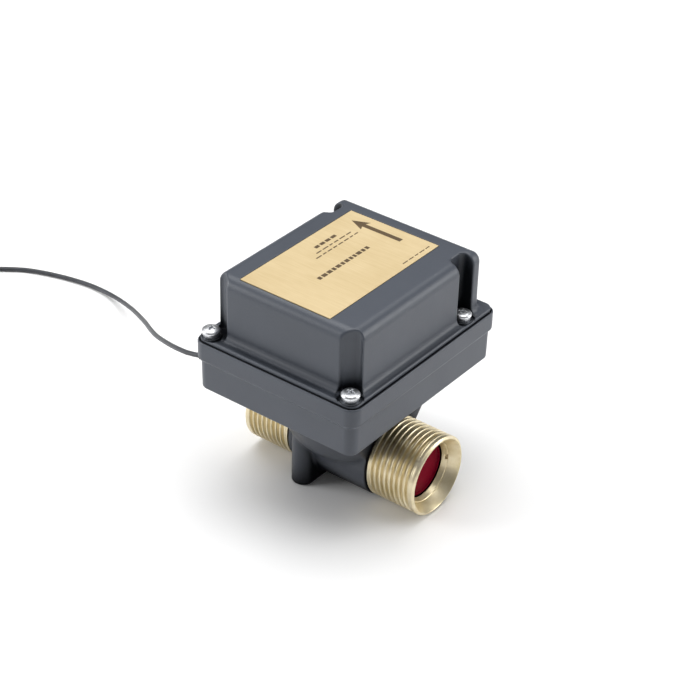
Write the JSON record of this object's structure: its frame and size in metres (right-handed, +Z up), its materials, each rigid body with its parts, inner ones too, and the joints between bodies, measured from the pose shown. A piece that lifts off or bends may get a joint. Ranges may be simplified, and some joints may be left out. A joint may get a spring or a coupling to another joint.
{
  "type": "inline_flow_switch",
  "caption": "In-line flow switch: box-shaped electronics housing with screwed lid on a plastic valve body, threaded brass pipe ends, hinged red flap in the inlet and a thin signal lead.",
  "frame": {"origin": "on the standing surface, under the middle of the housing and of the length from the grommet's tip to the inlet end", "axes": "+X along the pipe toward the inlet end, +Y across the pipe, +Z up through the lid"},
  "size_m": [0.2827, 0.0926, 0.0959],
  "materials": {
    "housing_plastic": "satin, fine grain",
    "body_plastic": "satin",
    "brass": "turned, bright",
    "screw_steel": "bright plated",
    "flap_plastic": "smooth gloss",
    "label_film": "printed satin film",
    "seal_rubber": "matt",
    "cable_jacket": "satin",
    "dark_moulding": "satin",
    "board_laminate": "lacquered",
    "pale_glass": "clear",
    "spring_steel": "drawn",
    "core_plastic": "smooth"
  },
  "bodies": {
    "housing": {"lid": "housing_plastic", "base": "housing_plastic", "lid_gasket": "seal_rubber", "label": "label_film", "lid_screws": "screw_steel", "circuit_board": "board_laminate", "board_screws": "spring_steel", "relay": "dark_moulding", "terminal_block": "board_laminate", "terminal_screws": "spring_steel", "capacitors": "dark_moulding", "reed_holder": "dark_moulding", "reed_switch": "pale_glass", "reed_wires": "core_plastic", "lead_clamp": "dark_moulding", "clamp_screws": "spring_steel", "lead_cores": "core_plastic", "body_screws": "spring_steel", "body_seal": "seal_rubber", "valve_body": "body_plastic", "inlet_fitting": "brass", "outlet_fitting": "brass", "inlet_o_ring": "seal_rubber", "outlet_o_ring": "seal_rubber", "retaining_ring": "brass", "flap_carrier": "dark_moulding", "hinge_pin": "spring_steel", "flap_spring": "spring_steel", "lead_grommet": "seal_rubber", "signal_lead": "cable_jacket", "lead_coil": "cable_jacket", "coil_tie": "dark_moulding", "lead_ends": "core_plastic"},
    "flap_body": {"flap": "flap_plastic", "magnet": "spring_steel"}
  },
  "joints": [
    {"name": "flap_hinge", "type": "hinge", "parent": "housing", "child": "flap_body", "pos_m": [0.0347, 0, 0.0268], "axis": [0, 1, 0], "range_deg": [0, 55], "stiffness_Nm_per_rad": 0.0005}
  ]
}
